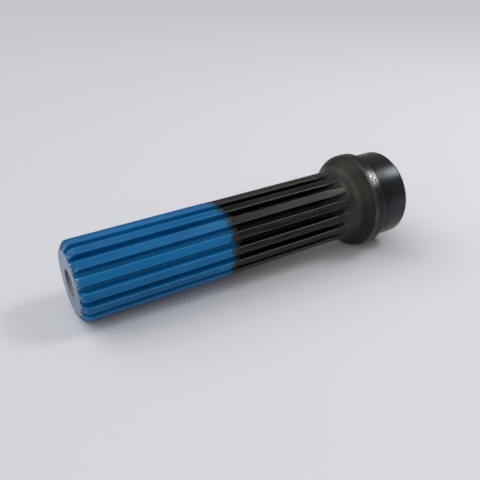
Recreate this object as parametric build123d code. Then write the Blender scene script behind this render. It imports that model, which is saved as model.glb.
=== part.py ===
from build123d import *
from math import acos, cos, degrees, pi, radians, sin, sqrt, tan
import os

# Splined slip shaft of a drive line, turned from one steel bar and hobbed, in millimetres.
# The axis is +X. X = 0 is the machined end face of the spline, which its sliding sleeve
# enters from, and the pilot that is pressed into a tube and welded is at the +X end.

# Spline: straight-sided teeth, equally spaced round the shaft
spline_dia = 38.1
tooth_count = 16
tooth_width = 3.73
tooth_depth = 3.62
tooth_edge_break = 0.3
root_bevel = 0.7             # of the corners at the bottom of a gap
tooth_clocking = 18.4        # degrees from +Y towards +Z, to the middle of the first tooth
spline_length = 142.0        # end face to the tips of the run-outs
cutter_radius = 40.0         # of the cutter whose arc lifts each tooth gap out of the bar

# Bell: the flare from the spline to the collar, seen as a side profile
bell_angle = 47.0
bell_fillet = 10.0
least_flank = 0.1            # straight length kept between the bell's two fillets
brow_angle = 22.0
brow_length = 2.3
brow_fillet = 9.0

# Collar and pilot: the shoulder that the tube seats on and what it is pressed over
shoulder_station = 162.2     # end face to the shoulder
shoulder_height = 2.45       # of the collar over the pilot, a little more than the tube's wall
collar_width = 6.1
collar_bevel_length = 1.7
collar_bevel_height = 0.35
pilot_dia = 46.7
pilot_length = 19.0
pilot_corner_bevel = 0.5
pilot_lead_length = 1.8
pilot_lead_height = 1.5

# Ends: chamfer of the spline and the centre holes that the bar was turned on
end_chamfer_length = 2.3
end_chamfer_height = 3.3
centre_drill_dia = 6.3
centre_sink_dia = 13.2
centre_sink_angle = 60.0
centre_drill_depth = 9.0     # straight wall, past the countersink
drill_point_angle = 118.0

# Nylon coating of the sliding length
coat_length = 75.0
coat_thickness = 0.2
coat_fringe = 2.6            # how much further it runs in the gaps than on the teeth

# What follows from the sizes above
spline_radius = spline_dia / 2
root_radius = spline_radius - tooth_depth
pilot_radius = pilot_dia / 2
collar_radius = pilot_radius + shoulder_height
half_pitch = pi / tooth_count
run_out_length = sqrt(cutter_radius ** 2 - (cutter_radius - tooth_depth) ** 2)
full_depth_end = spline_length - run_out_length
overall_length = shoulder_station + pilot_length
overshoot = 1.0              # how far a cutting solid reaches past what it cuts


def direction(angle):
    """Unit vector in the side profile at an angle to the axis, in degrees."""
    return Vector(cos(radians(angle)), sin(radians(angle)))


def bell_curve():
    """Side profile from the end chamfer over the spline's top to the edge of the collar."""
    ridge = Vector(shoulder_station - collar_width, collar_radius - collar_bevel_height)
    brow = ridge - brow_length * direction(brow_angle)
    flank = (brow.Y - spline_radius) / sin(radians(bell_angle))
    neck = brow - flank * direction(bell_angle)
    chamfer_top = Vector(end_chamfer_length, spline_radius)
    flank_left = flank - least_flank - brow_fillet * tan(radians(bell_angle - brow_angle) / 2)
    neck_fillet = min(bell_fillet, flank_left / tan(radians(bell_angle) / 2))
    return FilletPolyline(chamfer_top, neck, brow, ridge, radius=[neck_fillet, brow_fillet])


def turned_blank():
    """The bar as it leaves the lathe: spline blank, bell, collar and pilot."""
    bell = bell_curve()
    bevel_end = shoulder_station - collar_width + collar_bevel_length
    end_face = Polyline(
        (overall_length, 0),
        (0, 0),
        (0, spline_radius - end_chamfer_height),
        bell @ 0,
    )
    collar_and_pilot = Polyline(
        bell @ 1,
        (bevel_end, collar_radius),
        (shoulder_station, collar_radius),
        (shoulder_station, pilot_radius + pilot_corner_bevel),
        (shoulder_station + pilot_corner_bevel, pilot_radius),
        (overall_length - pilot_lead_length, pilot_radius),
        (overall_length, pilot_radius - pilot_lead_height),
        (overall_length, 0),
    )
    return revolve(make_face(end_face + bell + collar_and_pilot), Axis.X)


def centre_hole():
    """A countersunk centre hole that enters a face at X = 0 and runs along +X."""
    sink_radius = centre_sink_dia / 2
    drill_radius = centre_drill_dia / 2
    sink_depth = (sink_radius - drill_radius) / tan(radians(centre_sink_angle / 2))
    wall_end = sink_depth + centre_drill_depth
    point_depth = drill_radius / tan(radians(drill_point_angle / 2))
    profile = Polyline(
        (0, 0),
        (0, sink_radius),
        (sink_depth, drill_radius),
        (wall_end, drill_radius),
        (wall_end + point_depth, 0),
        close=True,
    )
    return revolve(make_face(profile), Axis.X)


def flank_point(radius):
    """Point of a tooth's flank at a radius, with the middle of the gap beside it upwards."""
    along = sqrt(radius ** 2 - (tooth_width / 2) ** 2)
    across = along * sin(half_pitch) - tooth_width / 2 * cos(half_pitch)
    height = along * cos(half_pitch) + tooth_width / 2 * sin(half_pitch)
    return across, height


def gap_section():
    """Section of the space between two teeth, whose flanks are parallel to each tooth's middle."""
    root_half, root_height = flank_point(root_radius)
    top_half, top_height = flank_point(spline_radius - tooth_edge_break)
    flare = tooth_edge_break + overshoot
    right = [
        (root_half, root_height),
        (top_half, top_height),
        (top_half + flare, top_height + flare),
    ]
    left = [(-across, height) for across, height in reversed(right)]
    section = make_face(Polyline(right + left, close=True))
    bottom = section.vertices().sort_by(Axis.Y)[:2]
    return chamfer(bottom, root_bevel)


def station(x):
    """Plane across the shaft, with its own Y pointing up."""
    return Plane(origin=(x, 0, 0), x_dir=(0, 1, 0), z_dir=(1, 0, 0))


def gap_cutter():
    """One tooth gap: full depth from the end of the bar, then out along the cutter's arc."""
    section = gap_section()
    straight = extrude(station(-overshoot) * section, full_depth_end + overshoot)
    spindle = Axis((full_depth_end, 0, root_radius + cutter_radius), (0, -1, 0))
    clear_of_bar = degrees(acos(1 - (tooth_depth + overshoot) / cutter_radius))
    run_out = revolve(station(full_depth_end) * section, spindle, clear_of_bar)
    return straight + run_out


def round_the_shaft(shape):
    """One copy of a shape in every gap, the first half a pitch past the first tooth."""
    pitch = 360 / tooth_count
    turns = [tooth_clocking - 90 + pitch * (k + 0.5) for k in range(tooth_count)]
    return [Rot(X=turn) * shape for turn in turns]


def make_shaft():
    """The steel shaft: turned blank, hobbed teeth with their run-outs, and centre holes."""
    tooth_edge = tooth_clocking + degrees(half_pitch) / 2
    blank = Rot(X=tooth_edge) * turned_blank()
    far_hole = Pos(X=overall_length) * Rot(Z=180) * centre_hole()
    return blank - round_the_shaft(gap_cutter()) - centre_hole() - far_hole


def make_coating(shaft):
    """The nylon over the first part of the teeth, of one thickness on tops, flanks and roots."""
    top = spline_radius + coat_thickness
    inside = root_radius - overshoot
    profile = Polyline(
        (0, inside),
        (0, top - end_chamfer_height),
        (end_chamfer_length, top),
        (coat_length, top),
        (coat_length + coat_fringe, root_radius + coat_thickness),
        (coat_length + coat_fringe, inside),
        close=True,
    )
    sleeve = revolve(make_face(profile), Axis.X)
    coated_gap = offset(gap_section(), -coat_thickness, kind=Kind.INTERSECTION)
    cutter = extrude(station(-overshoot) * coated_gap, coat_length + coat_fringe + 2 * overshoot)
    return sleeve - round_the_shaft(cutter) - shaft


shaft = make_shaft()
spline_coating = make_coating(shaft)

os.makedirs("parts", exist_ok=True)
export_step(shaft, "parts/shaft.step")
export_step(spline_coating, "parts/spline_coating.step")
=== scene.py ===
# %% [markdown]
# # Splined slip shaft
# A slip shaft carries torque along a drive line that has to change length. One end is a spline,
# coated with nylon so that it slides in its sleeve, and the other end is welded into a tube.
# This script gives them their looks.

# %% Load the finished frame
from math import acos, asin, atan2, cos, degrees, pi, radians, sin, sqrt, tan

import bmesh
import bpy
from mathutils import Matrix, Vector, noise


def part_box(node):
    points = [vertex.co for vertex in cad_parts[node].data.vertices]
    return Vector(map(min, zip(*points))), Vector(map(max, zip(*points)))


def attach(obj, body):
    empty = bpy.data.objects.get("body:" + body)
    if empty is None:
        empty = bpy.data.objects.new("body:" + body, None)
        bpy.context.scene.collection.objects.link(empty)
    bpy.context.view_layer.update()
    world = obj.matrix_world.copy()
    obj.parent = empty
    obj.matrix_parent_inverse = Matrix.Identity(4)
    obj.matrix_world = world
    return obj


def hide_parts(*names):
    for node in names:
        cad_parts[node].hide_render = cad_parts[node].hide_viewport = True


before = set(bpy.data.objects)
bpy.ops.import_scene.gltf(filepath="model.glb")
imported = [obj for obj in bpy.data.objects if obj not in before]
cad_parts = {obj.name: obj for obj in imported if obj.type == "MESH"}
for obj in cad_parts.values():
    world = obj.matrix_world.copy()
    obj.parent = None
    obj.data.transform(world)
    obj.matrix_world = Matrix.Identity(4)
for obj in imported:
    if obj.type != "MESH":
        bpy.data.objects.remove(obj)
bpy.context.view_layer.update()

for node_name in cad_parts:
    low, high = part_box(node_name)
    print(node_name, "size in mm:", [round(1000 * side, 1) for side in high - low])

# %% [markdown]
# ## Sizes of the real part
# The outer sizes are read from the loaded solids. Only what a box can't tell is written here:
# the section of a tooth, the cutter that made the gaps, and the small steps of the collar.
# All lengths are in millimetres, as on a workshop drawing, and one factor turns them into metres.

# %% Sizes read from the frame, and the drawing's own
mm = 0.001
shaft_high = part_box("shaft")[1]
coat_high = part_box("spline_coating")[1]

overall_length = shaft_high.x / mm
collar_radius = shaft_high.z / mm
coat_skin = 0.2
spline_radius = coat_high.z / mm - coat_skin
coat_fringe = 2.6
coat_length = coat_high.x / mm - coat_fringe

tooth_count = 16
tooth_width = 3.73
tooth_depth = 3.62
tooth_clocking = radians(18.4)
tip_rounding = 0.35
root_rounding = 0.7
spline_length = 142.0
cutter_radius = 40.0

end_chamfer_length = 2.3
end_chamfer_height = 3.3
shoulder_height = 2.45
shoulder_station = 162.2
collar_width = 6.1
collar_bevel_length = 1.7
collar_bevel_height = 0.35
bell_angle = radians(47.0)
bell_fillet = 10.0
brow_angle = radians(22.0)
brow_length = 2.3
brow_fillet = 9.0
pilot_radius = collar_radius - shoulder_height
pilot_lead_length = 1.8
pilot_lead_height = 1.5

sink_radius = 6.6
drill_radius = 3.15
sink_depth = (sink_radius - drill_radius) / tan(radians(30))
drill_end = sink_depth + 9.0
drill_tip = drill_end + drill_radius / tan(radians(59))

half_pitch = pi / tooth_count
run_out_length = sqrt(cutter_radius ** 2 - (cutter_radius - tooth_depth) ** 2)
full_depth_end = spline_length - run_out_length
print("length", round(overall_length, 1), "collar", round(2 * collar_radius, 1),
      "spline", round(2 * spline_radius, 1), "pilot", round(2 * pilot_radius, 1))

# %% [markdown]
# ## The floor that the shaft lies on
# The collar is thicker than the spline, so on a bench the shaft leans a little towards its coated
# end. The shaft keeps its own level frame here, and the floor leans instead: it touches the
# collar's edge and the foot of the end chamfer.

# %% Floor that touches the collar and the spline
rise = collar_radius - spline_radius - coat_skin
floor_slope = atan2(rise, shoulder_station - end_chamfer_length)
floor_normal = Vector((sin(floor_slope), 0, cos(floor_slope)))
floor_touch = Vector((shoulder_station, 0, -collar_radius)) * mm
floor_size = 16.0


def make_floor():
    """A large square plane through the lowest points of the part."""
    mesh = bpy.data.meshes.new("floor")
    half = floor_size / 2
    along = Vector((cos(floor_slope), 0, -sin(floor_slope)))
    across = Vector((0, 1, 0))
    corners = [(-half, -half), (half, -half), (half, half), (-half, half)]
    points = [floor_touch + u * along + v * across for u, v in corners]
    mesh.from_pydata(points, [], [(0, 1, 2, 3)])
    floor = bpy.data.objects.new("floor", mesh)
    bpy.context.scene.collection.objects.link(floor)
    return floor


floor = make_floor()
print("floor leans", round(degrees(floor_slope), 2), "degrees")

# %% [markdown]
# ## Camera
# The camera stands in front of the coated end and looks along the shaft from above its side, at
# about arm's length. Its picture is level with the floor, so its own sideways direction is worked
# out from the floor's normal and not from the shaft.

# %% Camera beside the coated end
eye = Vector((-38.1, -225.6, 132.5)) * mm
look = Vector((0.4303, 0.7718, -0.4681)).normalized()
sideways = look.cross(floor_normal).normalized()
upward = sideways.cross(look)

camera_data = bpy.data.cameras.new("camera")
camera_data.sensor_width = 36.0
camera_data.lens = 42.63
camera_data.clip_start = 0.01
camera = bpy.data.objects.new("camera", camera_data)
bpy.context.scene.collection.objects.link(camera)
turn = Matrix((sideways, upward, -look)).transposed()
camera.matrix_world = Matrix.Translation(eye) @ turn.to_4x4()
bpy.context.scene.camera = camera
print("camera looks down", round(degrees(asin(-look.dot(floor_normal))), 1), "degrees")

# %% [markdown]
# ## Light
# Metal and a glossy coat show what is round them more than their own colour, so the light is
# planned as a set of things to be seen in them. A pale, even world gives the body of the light.
# Two wide, far-off lamps, one behind the coated end and one before it, light the floor evenly and
# leave a soft shadow. A small panel over the collar is the one that shows as a soft streak on the
# upper lands and on the pilot.

# %% World and lamps
scene = bpy.context.scene
scene.view_settings.view_transform = "Standard"

world = bpy.data.worlds.new("studio")
world.use_nodes = True
world.node_tree.nodes["Background"].inputs["Color"].default_value = (0.95, 0.96, 1.0, 1)
world.node_tree.nodes["Background"].inputs["Strength"].default_value = 0.36
scene.world = world


def lamp(name, kind, direction, distance, power, **settings):
    """A lamp that shines on the middle of the shaft from a direction."""
    data = bpy.data.lights.new(name, kind)
    data.energy = power
    for setting, value in settings.items():
        setattr(data, setting, value)
    fitting = bpy.data.objects.new(name, data)
    towards = Vector(direction).normalized()
    fitting.location = Vector((overall_length / 2, 0, 0)) * mm + distance * towards
    fitting.rotation_mode = "QUATERNION"
    fitting.rotation_quaternion = towards.to_track_quat("Z", "Y")
    scene.collection.objects.link(fitting)


lamp("rear_sky", "SUN", (-0.40, 0.48, 0.78), 3.0, 1.55, angle=radians(60))
lamp("front_sky", "SUN", (-0.62, -0.52, 0.59), 3.0, 1.10, angle=radians(54))
lamp("collar_panel", "AREA", (0.64, -0.24, 0.73), 1.1, 3.8, size=0.34)

# %% [markdown]
# ## One slice of the shaft
# Everything on the shaft but its teeth is turned, so any cut across it is a circle, and each of
# the sixteen gaps takes the same bite out of that circle. So the whole shaft is one slice, from
# the middle of a tooth to the middle of the next, repeated round the axis. The slice is a grid:
# its rows are stations along the profile and its columns go across the gap. Each row is worked
# out as a machinist would draw it: a flat floor, a rounded corner, a flank parallel to the
# tooth's own middle, a rounded tip and the arc of the land.

# %% Section across half a gap, from its middle to the middle of the tooth
floor_steps, corner_steps, flank_steps, tip_steps, land_steps = 2, 3, 3, 4, 4
tip_column = floor_steps + corner_steps + flank_steps
half_columns = tip_column + tip_steps + land_steps
least_depth = 0.012
spreading_depth = 1.5
root_reach = sqrt((spline_radius - tooth_depth) ** 2 - (tooth_width / 2) ** 2)
gap_floor = root_reach * cos(half_pitch) + tooth_width / 2 * sin(half_pitch)


def between(start, end, steps):
    """Points from start to end, without start."""
    return [start + (end - start) * k / steps for k in range(1, steps + 1)]


def arc(centre, start, end, steps):
    """Points on a small arc round a centre, without its first."""
    first = atan2(*(start - centre).yx)
    last = atan2(*(end - centre).yx)
    swing = (last - first + pi) % (2 * pi) - pi
    radius = (start - centre).length
    turns = [first + swing * k / steps for k in range(1, steps + 1)]
    return [centre + radius * Vector((cos(a), sin(a))) for a in turns]


def gap_outline(top, lift, skin):
    """Half a gap with the cutter lifted, under a coat of a thickness: points (across, up)."""
    depth = top - (gap_floor + lift + skin)
    tip = min(tip_rounding + skin, 0.45 * depth)
    root = min(root_rounding, 0.45 * depth)
    half_tooth = tooth_width / 2 + lift * sin(half_pitch) + skin
    floor_height = gap_floor + lift + skin
    out_of_flank = Vector((-cos(half_pitch), sin(half_pitch)))
    along_flank = Vector((sin(half_pitch), cos(half_pitch)))

    corner_height = floor_height + root
    corner_across = (corner_height * sin(half_pitch) - half_tooth - root) / cos(half_pitch)
    corner = Vector((corner_across, corner_height))
    corner_start = Vector((corner_across, floor_height))
    corner_end = corner - root * out_of_flank

    tip_reach = sqrt((top - tip) ** 2 - (half_tooth - tip) ** 2)
    tip_centre = tip_reach * along_flank + (half_tooth - tip) * out_of_flank
    tip_start = tip_centre + tip * out_of_flank
    tip_end = tip_centre.normalized() * top

    points = [Vector((0, floor_height))]
    points += between(points[0], corner_start, floor_steps)
    points += arc(corner, corner_start, corner_end, corner_steps)
    points += between(corner_end, tip_start, flank_steps)
    points += arc(tip_centre, tip_start, tip_end, tip_steps)
    land_start = atan2(tip_end.x, tip_end.y)
    land_turn = (half_pitch - land_start) / land_steps
    turns = [land_start + land_turn * k for k in range(1, land_steps + 1)]
    return points + [top * Vector((sin(a), cos(a))) for a in turns]


def section(top, lift=0.0, skin=0.0):
    """Half a section as (turn from the gap's middle, radius) at a station of the profile."""
    depth = top - (gap_floor + lift + skin)
    if depth > least_depth:
        points = gap_outline(top, lift, skin)
        return [(atan2(p.x, p.y), min(p.length, top)) for p in points]
    closing = gap_outline(gap_floor + lift + skin + least_depth, lift, skin)
    spread = min(1.0, (least_depth - depth) / spreading_depth)
    spread = spread * spread * (3 - 2 * spread)
    turns = [atan2(p.x, p.y) for p in closing]
    even = [half_pitch * k / half_columns for k in range(half_columns + 1)]
    return [(t + (e - t) * spread, top) for t, e in zip(turns, even)]


def cutter_lift(x):
    """How far the round cutter has risen out of the bar at a station."""
    past = min(max(0.0, x - full_depth_end), 0.98 * cutter_radius)
    return cutter_radius - sqrt(cutter_radius ** 2 - past ** 2)


print("columns in a slice:", 2 * half_columns, "gap floor at radius", round(gap_floor, 2))

# %% [markdown]
# ## Profiles with rounded corners
# A profile is the line that a turning tool follows. It is given by its corners, each with the
# radius that breaks it, so no edge is razor sharp: real edges catch a thin line of light. Each
# corner also names the finish of the run that follows it. The helper cuts every corner back, puts
# an arc there, and divides the long runs. A short step at each end of a run keeps its finish and
# its shading from bleeding round the corner.

# %% Helpers that turn corners into the stations of a profile
arc_step = radians(9)
hem = 0.2


def rounded(corners):
    """Stations (point, edge, finish) of a profile from (x, radius, rounding, finish) corners."""
    stations = [(Vector(corners[0][:2]), 0.0, corners[0][3])]
    for before, corner, after in zip(corners, corners[1:], corners[2:]):
        here = Vector(corner[:2])
        back = (Vector(before[:2]) - here).normalized()
        ahead = (Vector(after[:2]) - here).normalized()
        opening = acos(max(-1.0, min(1.0, back.dot(ahead))))
        reach = corner[2] / tan(opening / 2)
        centre = here + (back + ahead).normalized() * corner[2] / sin(opening / 2)
        start = here + reach * back
        steps = max(2, round((pi - opening) / arc_step))
        edge = 1.0 if corner[2] < 1.0 else 0.0
        stations.append((start, edge, before[3]))
        bend = arc(centre, start, here + reach * ahead, steps)
        stations += [(point, edge, corner[3]) for point in bend]
    return stations + [(Vector(corners[-1][:2]), 0.0, corners[-1][3])]


def divided(stations, longest):
    """The same stations, with hems at the ends of long runs and no run longer than longest(x)."""
    result = [stations[0]]
    for (start, _, before), (end, edge, finish) in zip(stations, stations[1:]):
        run = end - start
        if run.length > 6 * hem:
            step = hem * run.normalized()
            pieces = max(1, round(run.length / longest((start.x + end.x) / 2)))
            middle = [start + step] + between(start + step, end - step, pieces)
            result += [(point, 0.0, before) for point in middle]
        result.append((end, edge, finish))
    return result


# %% Profile of the steel, from the bottom of one centre hole to that of the other
ridge = Vector((shoulder_station - collar_width, collar_radius - collar_bevel_height))
brow = ridge - brow_length * Vector((cos(brow_angle), sin(brow_angle)))
flank_length = (brow.y - spline_radius) / sin(bell_angle)
neck = brow - flank_length * Vector((cos(bell_angle), sin(bell_angle)))

steel_corners = [
    (drill_tip, 0, 0, "bore"),
    (drill_end, drill_radius, 0.2, "bore"),
    (sink_depth, drill_radius, 0.3, "sink"),
    (0, sink_radius, 0.25, "bright"),
    (0, spline_radius - end_chamfer_height, 0.3, "spline"),
    (end_chamfer_length, spline_radius, 2.2, "spline"),
    (neck.x, neck.y, bell_fillet, "bell"),
    (brow.x, brow.y, brow_fillet, "bell"),
    (ridge.x, ridge.y, 0.2, "bevel"),
    (ridge.x + collar_bevel_length, collar_radius, 0.5, "land"),
    (shoulder_station, collar_radius, 0.3, "pilot"),
    (shoulder_station, pilot_radius, 0.3, "pilot"),
    (overall_length - pilot_lead_length, pilot_radius, 1.2, "pilot"),
    (overall_length, pilot_radius - pilot_lead_height, 0.4, "faced"),
    (overall_length, sink_radius, 0.25, "sink"),
    (overall_length - sink_depth, drill_radius, 0.3, "bore"),
    (overall_length - drill_end, drill_radius, 0.2, "bore"),
    (overall_length - drill_tip, 0, 0, "bore"),
]


def longest_run(x):
    """Short runs where the gaps rise out of the bar, long ones elsewhere."""
    rising = full_depth_end < x < spline_length + 2
    return 0.7 if rising else 9.0


steel_profile = divided(rounded(steel_corners), longest_run)
print("stations along the steel:", len(steel_profile))

# %% [markdown]
# ## Marks that the finishes follow
# A finish isn't the same all over. Edges are rubbed and carry a painted sheen, gaps are painted
# darker the deeper they go, and a lathe leaves rings along the path of its tool. So every point of
# the grid carries a few numbers that the materials read by name: `path`, how far the tool has come
# in millimetres; `depth`, how deep in a gap the point lies; one that is 1 on an edge that rubs and
# takes a painted sheen; and one number for each finish.

# %% Helpers that make the slice's mesh from its rows
def eased(value, low, high):
    """Smoothly 0 below low and 1 above high."""
    t = max(0.0, min(1.0, (value - low) / (high - low)))
    return t * t * (3 - 2 * t)


def half_row(point, finish, edge, path, names, lift=0.0, skin=0.0, fringe=0.0):
    """Half a row: for each column its x, turn and radius, and its marks."""
    depth = point.y - gap_floor - lift - skin
    columns = []
    for column, (turn, radius) in enumerate(section(point.y, lift, skin)):
        below = max(0.0, min(1.0, (point.y - radius) / tooth_depth))
        on_tip = tip_column <= column <= tip_column + tip_steps
        tooth_edge = max(0.0, min(1.0, depth)) if on_tip else 0.0
        marks = {"path": path, "depth": below, "edge_wear_and_sheen": max(edge, tooth_edge)}
        marks |= {name: float(name == finish) for name in names}
        if finish == "spline":
            marks["bell"] = eased(point.x, full_depth_end + 2, neck.x)
        marks["fringe"] = fringe
        columns.append((point.x + coat_fringe * fringe * below ** 0.7, turn, radius, marks))
    return columns


def slice_mesh(name, rows, closed):
    """A grid from half rows, mirrored in the middle of the gap, with a layer for each mark."""
    mesh = bpy.data.meshes.new(name)
    bm = bmesh.new()
    layers = {mark: bm.verts.layers.float.new(mark) for mark in rows[0][0][3]}
    grid = []
    for half in rows:
        full = [(x, -turn, radius, marks) for x, turn, radius, marks in half[:0:-1]] + half
        line = []
        for x, turn, radius, marks in full:
            vert = bm.verts.new(Vector((x, radius * cos(turn), radius * sin(turn))) * mm)
            for mark, value in marks.items():
                vert[layers[mark]] = value
            line.append(vert)
        grid.append(line)
    pairs = list(zip(grid, grid[1:]))
    if closed:
        pairs.append((grid[-1], grid[0]))
    for lower, upper in pairs:
        for a, b, c, d in zip(lower, lower[1:], upper[1:], upper):
            bm.faces.new((a, b, c, d))
    bm.to_mesh(mesh)
    bm.free()
    return mesh


# %% The steel's slice
steel_finishes = ("bell", "bevel", "land", "pilot", "bright", "faced", "sink",
                   "bore")
steel_rows = []
path = 0.0
for station, (point, edge, finish) in enumerate(steel_profile):
    if station:
        path += (point - steel_profile[station - 1][0]).length
    steel_rows.append(half_row(point, finish, edge, path, steel_finishes, cutter_lift(point.x)))
steel_slice = slice_mesh("steel_slice", steel_rows, closed=False)
print("faces in the steel slice:", len(steel_slice.polygons))

# %% [markdown]
# ## The slice repeated round the axis
# This is work for Geometry Nodes: one slice in, sixteen slices out. The tree puts a point for each
# tooth, sets a copy of the slice on each with its own turn about the axis, makes the copies real,
# welds their seams and sets the material. Its count and first turn are inputs with names, so the
# same tree makes the steel and its coat.

# %% Geometry Nodes tree that repeats a slice
def round_the_shaft_tree():
    """Node tree: copies of a slice, evenly turned about the X axis."""
    tree = bpy.data.node_groups.new("round_the_shaft", "GeometryNodeTree")
    face = tree.interface
    face.new_socket("Slice", in_out="INPUT", socket_type="NodeSocketGeometry")
    count = face.new_socket("Teeth", in_out="INPUT", socket_type="NodeSocketInt")
    count.default_value = 16
    face.new_socket("First turn", in_out="INPUT", socket_type="NodeSocketFloat")
    face.new_socket("Material", in_out="INPUT", socket_type="NodeSocketMaterial")
    face.new_socket("Shaft", in_out="OUTPUT", socket_type="NodeSocketGeometry")
    node = tree.nodes.new
    link = tree.links.new
    inputs = node("NodeGroupInput")
    output = node("NodeGroupOutput")
    points = node("GeometryNodePoints")
    index = node("GeometryNodeInputIndex")
    pitch = node("ShaderNodeMath")
    pitch.operation = "DIVIDE"
    pitch.inputs[0].default_value = 2 * pi
    angle = node("ShaderNodeMath")
    angle.operation = "MULTIPLY_ADD"
    rotation = node("ShaderNodeCombineXYZ")
    copies = node("GeometryNodeInstanceOnPoints")
    real = node("GeometryNodeRealizeInstances")
    weld = node("GeometryNodeMergeByDistance")
    weld.inputs["Distance"].default_value = 2e-7
    paint = node("GeometryNodeSetMaterial")
    link(inputs.outputs["Teeth"], points.inputs["Count"])
    link(inputs.outputs["Teeth"], pitch.inputs[1])
    link(index.outputs[0], angle.inputs[0])
    link(pitch.outputs[0], angle.inputs[1])
    link(inputs.outputs["First turn"], angle.inputs[2])
    link(angle.outputs[0], rotation.inputs["X"])
    link(points.outputs[0], copies.inputs["Points"])
    link(inputs.outputs["Slice"], copies.inputs["Instance"])
    link(rotation.outputs[0], copies.inputs["Rotation"])
    link(copies.outputs[0], real.inputs[0])
    link(real.outputs[0], weld.inputs["Geometry"])
    link(weld.outputs[0], paint.inputs["Geometry"])
    link(inputs.outputs["Material"], paint.inputs["Material"])
    link(paint.outputs[0], output.inputs[0])
    return tree


round_tree = round_the_shaft_tree()
tree_inputs = [item for item in round_tree.interface.items_tree if item.in_out == "INPUT"]
print("tree inputs:", [item.name for item in tree_inputs])

# %% Helpers that run the tree and keep its result as a plain mesh
def applied(piece):
    """The piece with its modifiers turned into a plain mesh."""
    bpy.context.view_layer.update()
    ready = piece.evaluated_get(bpy.context.evaluated_depsgraph_get())
    mesh = bpy.data.meshes.new_from_object(ready)
    mesh.name = piece.name
    piece.modifiers.clear()
    piece.data = mesh
    return mesh


def repeated(name, slice_part, material):
    """A new object with the slice repeated round the axis, closed and facing outwards."""
    piece = bpy.data.objects.new(name, slice_part)
    scene.collection.objects.link(piece)
    modifier = piece.modifiers.new("round_the_shaft", "NODES")
    modifier.node_group = round_tree
    first_turn = tooth_clocking + half_pitch
    values = {"Teeth": tooth_count, "First turn": first_turn, "Material": material}
    for item in tree_inputs:
        if item.name in values:
            modifier[item.identifier] = values[item.name]
    mesh = applied(piece)
    bm = bmesh.new()
    bm.from_mesh(mesh)
    bmesh.ops.remove_doubles(bm, verts=bm.verts, dist=1e-7)
    bmesh.ops.recalc_face_normals(bm, faces=bm.faces)
    open_edges = sum(1 for edge in bm.edges if not edge.is_manifold)
    bm.to_mesh(mesh)
    bm.free()
    print(name, "faces:", len(mesh.polygons), "open edges:", open_edges)
    return piece


def shaded(piece):
    """Smooth shading that stays flat on the large faces and bends only in the rounded edges."""
    piece.data.shade_smooth()
    piece.modifiers.new("weighted_normals", "WEIGHTED_NORMAL")
    applied(piece)


# %% [markdown]
# ## Effects that the finishes share
# Each effect is a small node group with named inputs, made once and used in both materials:
# `mottle` breaks up an even colour, `tool_rings` draws the rings that a lathe leaves along the
# tool's path, and the edge effect is where handling has worn an edge and where a sheen is painted
# along it. They give out only masks, so each material decides what colour and gloss belong there.

# %% Helper that adds a shader node
def add(tree, kind, inputs=(), **settings):
    """A node with its settings made, and each of its inputs set or linked."""
    node = tree.nodes.new(kind)
    for name, value in settings.items():
        setattr(node, name, value)
    for socket, value in dict(inputs).items():
        if isinstance(value, bpy.types.NodeSocket):
            tree.links.new(value, node.inputs[socket])
        else:
            node.inputs[socket].default_value = value
    return node


def effect(name, inputs, output):
    """An empty shader node group with named number inputs and one output."""
    tree = bpy.data.node_groups.new(name, "ShaderNodeTree")
    for label, value in inputs.items():
        socket = tree.interface.new_socket(label, in_out="INPUT", socket_type="NodeSocketFloat")
        socket.default_value = value
    tree.interface.new_socket(output, in_out="OUTPUT", socket_type="NodeSocketFloat")
    return tree, tree.nodes.new("NodeGroupInput").outputs, tree.nodes.new("NodeGroupOutput").inputs


def marked(tree, mark):
    """The value of one of the marks on the mesh."""
    return add(tree, "ShaderNodeAttribute", attribute_name=mark).outputs["Fac"]


def number(tree, operation, *values, clamp=False):
    """A Math node's result."""
    inputs = dict(enumerate(values))
    return add(tree, "ShaderNodeMath", inputs, operation=operation, use_clamp=clamp).outputs[0]


def ramp(tree, value, low, high):
    """Smoothly 0 below low and 1 above high."""
    inputs = {"Value": value, "From Min": low, "From Max": high}
    node = add(tree, "ShaderNodeMapRange", inputs, interpolation_type="SMOOTHSTEP")
    return node.outputs["Result"]


# %% Mottle: soft patches of any size, drawn out along the shaft if wanted
mottle, given, result = effect("mottle", {"Patches per metre": 80, "Drawn out": 1, "Fine": 3,
                                          "Low": 0.35, "High": 0.65}, "Mask")
place = add(mottle, "ShaderNodeTexCoord").outputs["Object"]
stretch = add(mottle, "ShaderNodeCombineXYZ", {
    "X": number(mottle, "DIVIDE", 1.0, given["Drawn out"]), "Y": 1.0, "Z": 1.0}).outputs[0]
place = add(mottle, "ShaderNodeVectorMath", {0: place, 1: stretch},
            operation="MULTIPLY").outputs[0]
patches = add(mottle, "ShaderNodeTexNoise", {
    "Vector": place, "Scale": given["Patches per metre"], "Detail": given["Fine"]}).outputs["Fac"]
mottle.links.new(ramp(mottle, patches, given["Low"], given["High"]), result["Mask"])

# %% Tool rings: the fine rings that a lathe leaves, a little uneven
tool_rings, given, result = effect("tool_rings", {"Feed": 0.3, "Wander": 0.3}, "Height")
place = add(tool_rings, "ShaderNodeTexCoord").outputs["Object"]
drift = add(tool_rings, "ShaderNodeTexNoise", {"Vector": place, "Scale": 60.0}).outputs["Fac"]
turn_count = number(tool_rings, "DIVIDE", marked(tool_rings, "path"), given["Feed"])
turn_count = number(tool_rings, "MULTIPLY_ADD", drift, given["Wander"], turn_count)
rings = add(tool_rings, "ShaderNodeTexNoise", {"W": turn_count, "Scale": 1.0, "Detail": 3.0},
            noise_dimensions="1D").outputs["Fac"]
tool_rings.links.new(rings, result["Height"])
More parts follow.
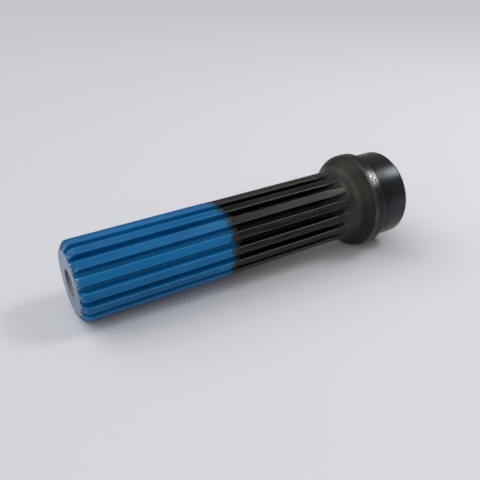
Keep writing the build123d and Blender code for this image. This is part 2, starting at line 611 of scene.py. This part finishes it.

# %% Rubbed edge and painted sheen: full on the edge, broken up by patches
rubbed_edge_and_sheen, given, result = effect("rubbed_edge_and_sheen", {"Amount": 0.5, "Patches per metre": 300},
                                    "Mask")
place = add(rubbed_edge_and_sheen, "ShaderNodeTexCoord").outputs["Object"]
patches = add(rubbed_edge_and_sheen, "ShaderNodeTexNoise", {
    "Vector": place, "Scale": given["Patches per metre"], "Detail": 4.0}).outputs["Fac"]
on_edge = number(rubbed_edge_and_sheen, "POWER", marked(rubbed_edge_and_sheen, "edge_wear_and_sheen"), 2.0)
left = number(rubbed_edge_and_sheen, "SUBTRACT", on_edge, patches)
left = number(rubbed_edge_and_sheen, "ADD", left, given["Amount"])
rubbed_edge_and_sheen.links.new(ramp(rubbed_edge_and_sheen, left, 0.45, 0.8), result["Mask"])
print("effects:", [group.name for group in (mottle, tool_rings, rubbed_edge_and_sheen)])

# %% [markdown]
# ## Finishes
# Both materials start from one even colour and lay the other finishes over it, mostly in the order
# in which the real surface got them: turning, blacking, darkening in the gaps, and at last wear;
# painted highlights and a painted sheen on the edges are laid in among them.

# %% Helpers that lay one finish over another
def use(tree, group, output, **inputs):
    """The output of an effect with its own inputs; a name's _ stands for a space."""
    named = {name.replace("_", " "): value for name, value in inputs.items()}
    return add(tree, "ShaderNodeGroup", named, node_tree=group).outputs[output]


def over(tree, under, colour, mask):
    """A colour laid over another where the mask is 1."""
    node = add(tree, "ShaderNodeMix", data_type="RGBA")
    factor, first, second = node.inputs[0], node.inputs[6], node.inputs[7]
    for socket, value in ((factor, mask), (first, under), (second, colour)):
        if isinstance(value, bpy.types.NodeSocket):
            tree.links.new(value, socket)
        elif isinstance(value, tuple):
            socket.default_value = (*value, 1)
        else:
            socket.default_value = value
    return node.outputs[2]


def level(tree, under, value, mask):
    """A number that becomes another where the mask is 1."""
    inputs = {"Value": mask, "To Min": under, "To Max": value}
    return add(tree, "ShaderNodeMapRange", inputs).outputs["Result"]


def new_finish(name):
    """A material, its node tree and its main shader."""
    material = bpy.data.materials.new(name)
    material.use_nodes = True
    tree = material.node_tree
    return material, tree, tree.nodes["Principled BSDF"]


# %% [markdown]
# ### Blacked steel
# The whole forging is blacked and oiled, but it isn't one black. The lands are satin and a little
# streaked along the shaft. The bell was turned and then left dull, and its dullness runs on over
# the ends of the lands, which also carry a painted highlight. The pilot is smoother, cooler in
# colour and fine-turned. Towards its free end, where it goes into the tube, it is smoother still
# and painted paler, partly polish and partly a painted highlight. The end faces and the centre
# holes' cones were cut last, so they are bare metal; the near end face is tinted blue, a painted
# reflection of the pale surroundings. One loop lays these finishes over the spline's own.

# %% Blacked steel: the turned finishes
blacked_steel, tree, shader = new_finish("blacked_steel")
shader.inputs["Metallic"].default_value = 1.0
place = add(tree, "ShaderNodeTexCoord").outputs["Object"]
along = add(tree, "ShaderNodeSeparateXYZ", {0: place}).outputs["X"]
streaks = use(tree, mottle, "Mask", Patches_per_metre=700.0, Drawn_out=14.0, Fine=4.0)
clouds = use(tree, mottle, "Mask", Patches_per_metre=70.0, Fine=6.0)
wide_rings = ramp(tree, use(tree, tool_rings, "Height", Feed=0.9, Wander=0.4), 0.35, 0.65)
colour = over(tree, (0.020, 0.019, 0.018), (0.040, 0.037, 0.034), streaks)
gloss = level(tree, 0.42, 0.54, streaks)
for finish, tint, second_tint, patches, roughness in (
    ("bell", (0.034, 0.031, 0.027), (0.025, 0.023, 0.020), clouds, 0.50),
    ("bevel", (0.085, 0.080, 0.077), (0.050, 0.047, 0.045), clouds, 0.42),
    ("land", (0.030, 0.030, 0.030), (0.044, 0.043, 0.042), clouds, 0.40),
    ("pilot", (0.017, 0.019, 0.021), (0.034, 0.037, 0.040), clouds, 0.32),
    # The near end face is bare metal tinted blue, a painted reflection of the pale surroundings.
    ("bright", (0.22, 0.32, 0.43), (0.17, 0.25, 0.36), wide_rings, 0.32),
    ("faced", (0.185, 0.185, 0.190), (0.130, 0.130, 0.137), wide_rings, 0.36),
    ("sink", (0.190, 0.180, 0.195), (0.120, 0.095, 0.095), wide_rings, 0.60),
    ("bore", (0.012, 0.006, 0.004), (0.022, 0.008, 0.005), clouds, 0.80),
):
    here = marked(tree, finish)
    colour = over(tree, colour, over(tree, tint, second_tint, patches), here)
    gloss = level(tree, gloss, roughness, here)

# %% Blacked steel: the pilot's free end, smoother and painted paler, partly polish and partly a painted highlight, and its dark specks
polished_and_highlit = ramp(tree, along, (overall_length - 16) * mm, (overall_length - 4) * mm)
polished_and_highlit = number(tree, "MULTIPLY", polished_and_highlit, marked(tree, "pilot"))
# Paler towards the free end: partly polish, partly a painted highlight.
colour = over(tree, colour, (0.042, 0.047, 0.050), polished_and_highlit)
gloss = level(tree, gloss, 0.27, polished_and_highlit)
pores = add(tree, "ShaderNodeTexVoronoi", {"Vector": place, "Scale": 560.0}).outputs["Distance"]
rare = use(tree, mottle, "Mask", Patches_per_metre=120.0, Fine=2.0, Low=0.54, High=0.64)
specks = number(tree, "SUBTRACT", 1.0, ramp(tree, pores, 0.1, 0.34))
specks = number(tree, "MULTIPLY", specks, rare)
specks = number(tree, "MULTIPLY", specks, number(tree, "MULTIPLY", marked(tree, "pilot"), 0.6))
colour = over(tree, colour, (0.014, 0.012, 0.011), specks)
gloss = level(tree, gloss, 0.6, specks)

# %% Blacked steel: a painted highlight on the lands' ends where they run into the bell
rising = number(tree, "MULTIPLY", ramp(tree, along, full_depth_end * mm, neck.x * mm),
                number(tree, "SUBTRACT", 1.0, ramp(tree, along, neck.x * mm, (neck.x + 3) * mm)))
rising = number(tree, "MULTIPLY", rising, level(tree, 0.15, 0.5, clouds))
# Painted highlight: the land ends next to the bell are painted paler.
colour = over(tree, colour, (0.095, 0.088, 0.082), rising)

# %% Blacked steel: darker the deeper a point lies in a gap
gap_patches = use(tree, mottle, "Mask", Patches_per_metre=260.0, Fine=4.0, Low=0.2, High=0.6)
darker_in_gaps = ramp(tree, marked(tree, "depth"), 0.03, 0.45)
darker_in_gaps = number(tree, "MULTIPLY", darker_in_gaps, level(tree, 0.6, 0.95, gap_patches))
colour = over(tree, colour, (0.010, 0.008, 0.007), darker_in_gaps)
gloss = level(tree, gloss, 0.55, darker_in_gaps)

# %% Blacked steel: edges painted paler, partly rubbed metal and partly a painted sheen
rubbed_and_sheen = use(tree, rubbed_edge_and_sheen, "Mask", Amount=0.38, Patches_per_metre=420.0)
rubbed_and_sheen = number(tree, "MULTIPLY", rubbed_and_sheen, 0.5)
colour = over(tree, colour, (0.17, 0.165, 0.16), rubbed_and_sheen)

# %% [markdown]
# A patch on the collar has been scuffed down to bare metal, where the shaft was held or dropped.
# It is a short distance from one point of the land, broken up by streaks across it, so that it
# reads as many small scratches and not as a painted spot.

# %% Blacked steel: the scuffed patch on the collar
scuff_turn = radians(134)
scuff_outwards = Vector((0, cos(scuff_turn), sin(scuff_turn)))
scuff_middle = Vector((shoulder_station - 3.2, 0, 0)) + collar_radius * scuff_outwards
reach = add(tree, "ShaderNodeVectorMath", {0: place, 1: scuff_middle * mm},
            operation="DISTANCE").outputs["Value"]
inside = number(tree, "SUBTRACT", 1.0, ramp(tree, reach, 1.0 * mm, 6.5 * mm))
scratches = use(tree, mottle, "Mask", Patches_per_metre=1000.0, Drawn_out=0.4, Fine=6.0,
                Low=0.40, High=0.72)
on_collar = number(tree, "MAXIMUM", marked(tree, "land"), marked(tree, "bevel"))
scuffed = number(tree, "MULTIPLY", number(tree, "MULTIPLY", inside, scratches), on_collar)
colour = over(tree, colour, (0.50, 0.49, 0.47), scuffed)
gloss = level(tree, gloss, 0.38, scuffed)

# %% Blacked steel: surface relief, and the shader
rings = use(tree, tool_rings, "Height", Feed=0.32, Wander=0.5)
grain = use(tree, mottle, "Mask", Patches_per_metre=1800.0, Fine=2.0, Low=0.2, High=0.8)
height = level(tree, grain, rings, number(tree, "SUBTRACT", 1.0, marked(tree, "depth")))
bump = add(tree, "ShaderNodeBump", {"Height": height, "Distance": 0.00002, "Strength": 1.0})
tree.links.new(colour, shader.inputs["Base Color"])
tree.links.new(gloss, shader.inputs["Roughness"])
tree.links.new(bump.outputs[0], shader.inputs["Normal"])
print("blacked steel nodes:", len(tree.nodes))

# %% [markdown]
# ### Blue nylon
# The film is satin, with a slight ripple from drying. Its colour is a little deeper in some places
# than in others. Along the teeth's edges it is painted paler, partly rubbed thin and partly a
# painted sheen. It is rubbed through to grey flecks on the noses, which meet the sleeve first.
# At its far end it is so thin and ragged that steel shows.

# %% Blue nylon
blue_nylon, tree, shader = new_finish("blue_nylon")
shader.inputs["Specular IOR Level"].default_value = 0.22
place = add(tree, "ShaderNodeTexCoord").outputs["Object"]
along = add(tree, "ShaderNodeSeparateXYZ", {0: place}).outputs["X"]
clouds = use(tree, mottle, "Mask", Patches_per_metre=70.0, Drawn_out=3.0, Fine=5.0)
colour = over(tree, (0.000, 0.086, 0.240), (0.000, 0.118, 0.300), clouds)
# Paler along the teeth's edges: partly rubbed coat, partly a painted sheen.
rubbed_and_sheen = use(tree, rubbed_edge_and_sheen, "Mask", Amount=0.34, Patches_per_metre=350.0)
rubbed_and_sheen = number(tree, "MULTIPLY", rubbed_and_sheen, 0.45)
colour = over(tree, colour, (0.03, 0.19, 0.38), rubbed_and_sheen)

noses = number(tree, "SUBTRACT", 1.0, ramp(tree, along, 0.6 * mm, 2.6 * mm))
flecks = use(tree, mottle, "Mask", Patches_per_metre=650.0, Fine=4.0, Low=0.52, High=0.66)
worn_noses = number(tree, "MULTIPLY", number(tree, "MULTIPLY", noses, flecks), 0.7)
colour = over(tree, colour, (0.25, 0.38, 0.47), worn_noses)

ragged = use(tree, mottle, "Mask", Patches_per_metre=420.0, Drawn_out=1.5, Fine=5.0,
             Low=0.1, High=0.9)
thin = number(tree, "ADD", marked(tree, "fringe"), number(tree, "MULTIPLY", ragged, 0.7))
colour = over(tree, colour, (0.012, 0.055, 0.085), ramp(tree, thin, 0.75, 1.0))
colour = over(tree, colour, (0.016, 0.017, 0.018), ramp(tree, thin, 1.0, 1.22))

gloss = level(tree, 0.36, 0.48, clouds)
ripple = use(tree, mottle, "Mask", Patches_per_metre=900.0, Drawn_out=1.5, Fine=2.0,
             Low=0.2, High=0.8)
bump = add(tree, "ShaderNodeBump", {"Height": ripple, "Distance": 0.00003, "Strength": 1.0})
tree.links.new(colour, shader.inputs["Base Color"])
tree.links.new(gloss, shader.inputs["Roughness"])
tree.links.new(bump.outputs[0], shader.inputs["Normal"])
print("blue nylon nodes:", len(tree.nodes))

# %% Floor paint
floor_paint, tree, shader = new_finish("floor_paint")
shader.inputs["Base Color"].default_value = (0.60, 0.60, 0.625, 1)
shader.inputs["Roughness"].default_value = 0.9
shader.inputs["Specular IOR Level"].default_value = 0.1
floor.data.materials.append(floor_paint)

# %% The steel shaft
steel = repeated("steel_body", steel_slice, blacked_steel)
shaded(steel)

# %% [markdown]
# ## Nylon coat
# The coated end was dipped or sprayed: the film covers the teeth and the gaps alike, is a little
# rounder than the steel below it, thins out to a feather edge, and has crept further along the
# gaps than over the lands. It is a thin closed shell over the steel, with its inner wall buried.

# %% The coat's slice
feather_length = 5.0
feather_start = coat_length - feather_length
feather_skin = 0.03
coat_corners = [
    (0, spline_radius - end_chamfer_height + coat_skin, 0, "coat"),
    (end_chamfer_length, spline_radius + coat_skin, 2.6, "coat"),
    (feather_start, spline_radius + coat_skin, 3.0, "coat"),
    (coat_length, spline_radius + feather_skin, 0, "coat"),
]
coat_profile = divided(rounded(coat_corners), lambda x: 1.2 if x > feather_start else 8.0)
buried_skin = -0.05
buried = [Vector((coat_length, spline_radius + buried_skin)),
          Vector((feather_start, spline_radius + buried_skin)),
          Vector((end_chamfer_length, spline_radius + buried_skin)),
          Vector((0, spline_radius - end_chamfer_height + buried_skin))]


def crept(x):
    """0 before the feather edge and 1 at the coat's end."""
    return max(0.0, min(1.0, (x - feather_start) / feather_length))


coat_rows = []
path = 0.0
for station, (point, edge, finish) in enumerate(coat_profile):
    if station:
        path += (point - coat_profile[station - 1][0]).length
    skin = coat_skin + (feather_skin - coat_skin) * crept(point.x)
    coat_rows.append(half_row(point, finish, edge, path, (), 0.0, skin, crept(point.x)))
for point in buried:
    coat_rows.append(half_row(point, "coat", 0.0, path, (), 0.0, buried_skin, crept(point.x)))
coat_slice = slice_mesh("coat_slice", coat_rows, closed=True)

# %% The coat with its uneven end
dip_tilt = 2.4
dip_turn = radians(148)


def uneven_end(piece):
    """Slant the coat's end as a dip line slants, and let it wander from tooth to tooth."""
    for vert in piece.data.vertices:
        pull = crept(vert.co.x / mm - coat_fringe * 0.5)
        if pull > 0:
            round_shaft = Vector((0, vert.co.y, vert.co.z)).normalized()
            slant = cos(atan2(vert.co.z, vert.co.y) - dip_turn)
            wave = noise.noise(round_shaft * 4.0 + Vector((3.1, 0, 0)))
            ripple = noise.noise(round_shaft * 18.0 + Vector((7.7, 0, 0)))
            vert.co.x += pull * mm * (dip_tilt * slant + 1.2 * wave + 0.6 * ripple)


coat = repeated("nylon_coat", coat_slice, blue_nylon)
uneven_end(coat)
shaded(coat)

# %% Hand the pieces to the frame
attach(steel, "root")
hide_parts("shaft")
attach(coat, "root")
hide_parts("spline_coating")
